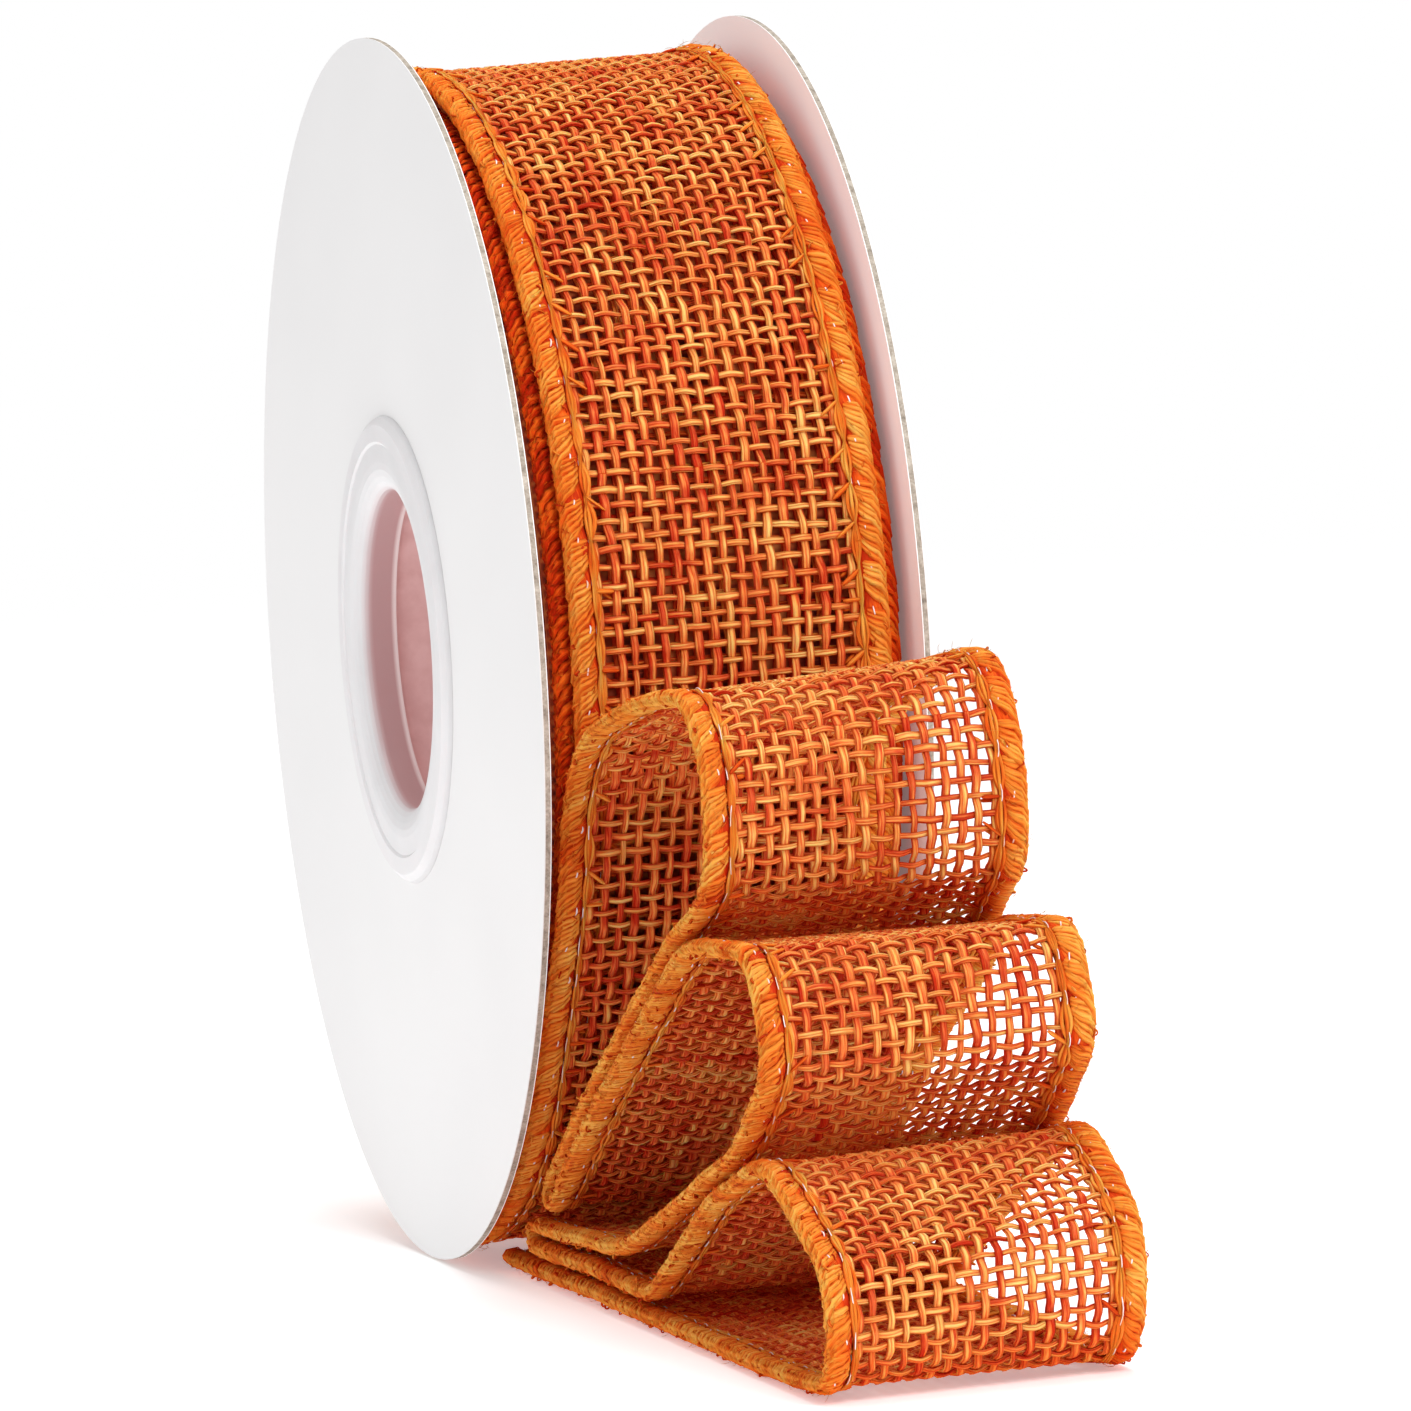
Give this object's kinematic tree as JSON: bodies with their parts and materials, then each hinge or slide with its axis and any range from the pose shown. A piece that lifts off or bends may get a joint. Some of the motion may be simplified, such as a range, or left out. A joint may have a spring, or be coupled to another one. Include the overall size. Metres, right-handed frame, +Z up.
{
  "type": "ribbon spool",
  "caption": "Spool of wired-edge woven burlap ribbon: white card flanges on a plastic hub with a wide spindle bore, and a loose tail folded into standing loops.",
  "frame": {"origin": "centre of the spindle bore, midway between the flanges", "axes": "+X along the bore towards the right-hand flange, +Z up, the ribbon tail lies towards -Y"},
  "size_m": [0.0486, 0.2438, 0.146],
  "materials": {
    "greyboard": "raw grey-brown paperboard, cut edge",
    "white_paper": "smooth coated white paper, faintly satin",
    "milky_plastic": "translucent milky polyethylene, satin",
    "clear_tape": "clear adhesive tape",
    "burlap_weave": "open plain weave of slubby yarns in mixed orange, gold and red",
    "edge_thread": "soft overlock thread, bright orange",
    "edge_wire": "thin annealed iron wire",
    "clear_thread": "clear nylon monofilament"
  },
  "bodies": {
    "tail": {"tail_web": "burlap_weave", "tail_left_edge": "edge_thread", "tail_right_edge": "edge_thread", "tail_left_wire": "edge_wire", "tail_right_wire": "edge_wire", "tail_left_lock_thread": "clear_thread", "tail_right_lock_thread": "clear_thread"},
    "spool": {"left_flange_board": "greyboard", "left_flange_outer_liner": "white_paper", "left_flange_inner_liner": "white_paper", "right_flange_board": "greyboard", "right_flange_outer_liner": "white_paper", "right_flange_inner_liner": "white_paper", "core_tube": "milky_plastic", "left_end_cap": "milky_plastic", "right_end_cap": "milky_plastic", "start_tape": "clear_tape", "wound_web": "burlap_weave", "wound_left_edge": "edge_thread", "wound_right_edge": "edge_thread"}
  },
  "joints": [
    {"name": "spool_spin", "type": "hinge", "parent": "tail", "child": "spool", "pos_m": [0, 0, 0], "axis": [1, 0, 0], "continuous": true}
  ]
}
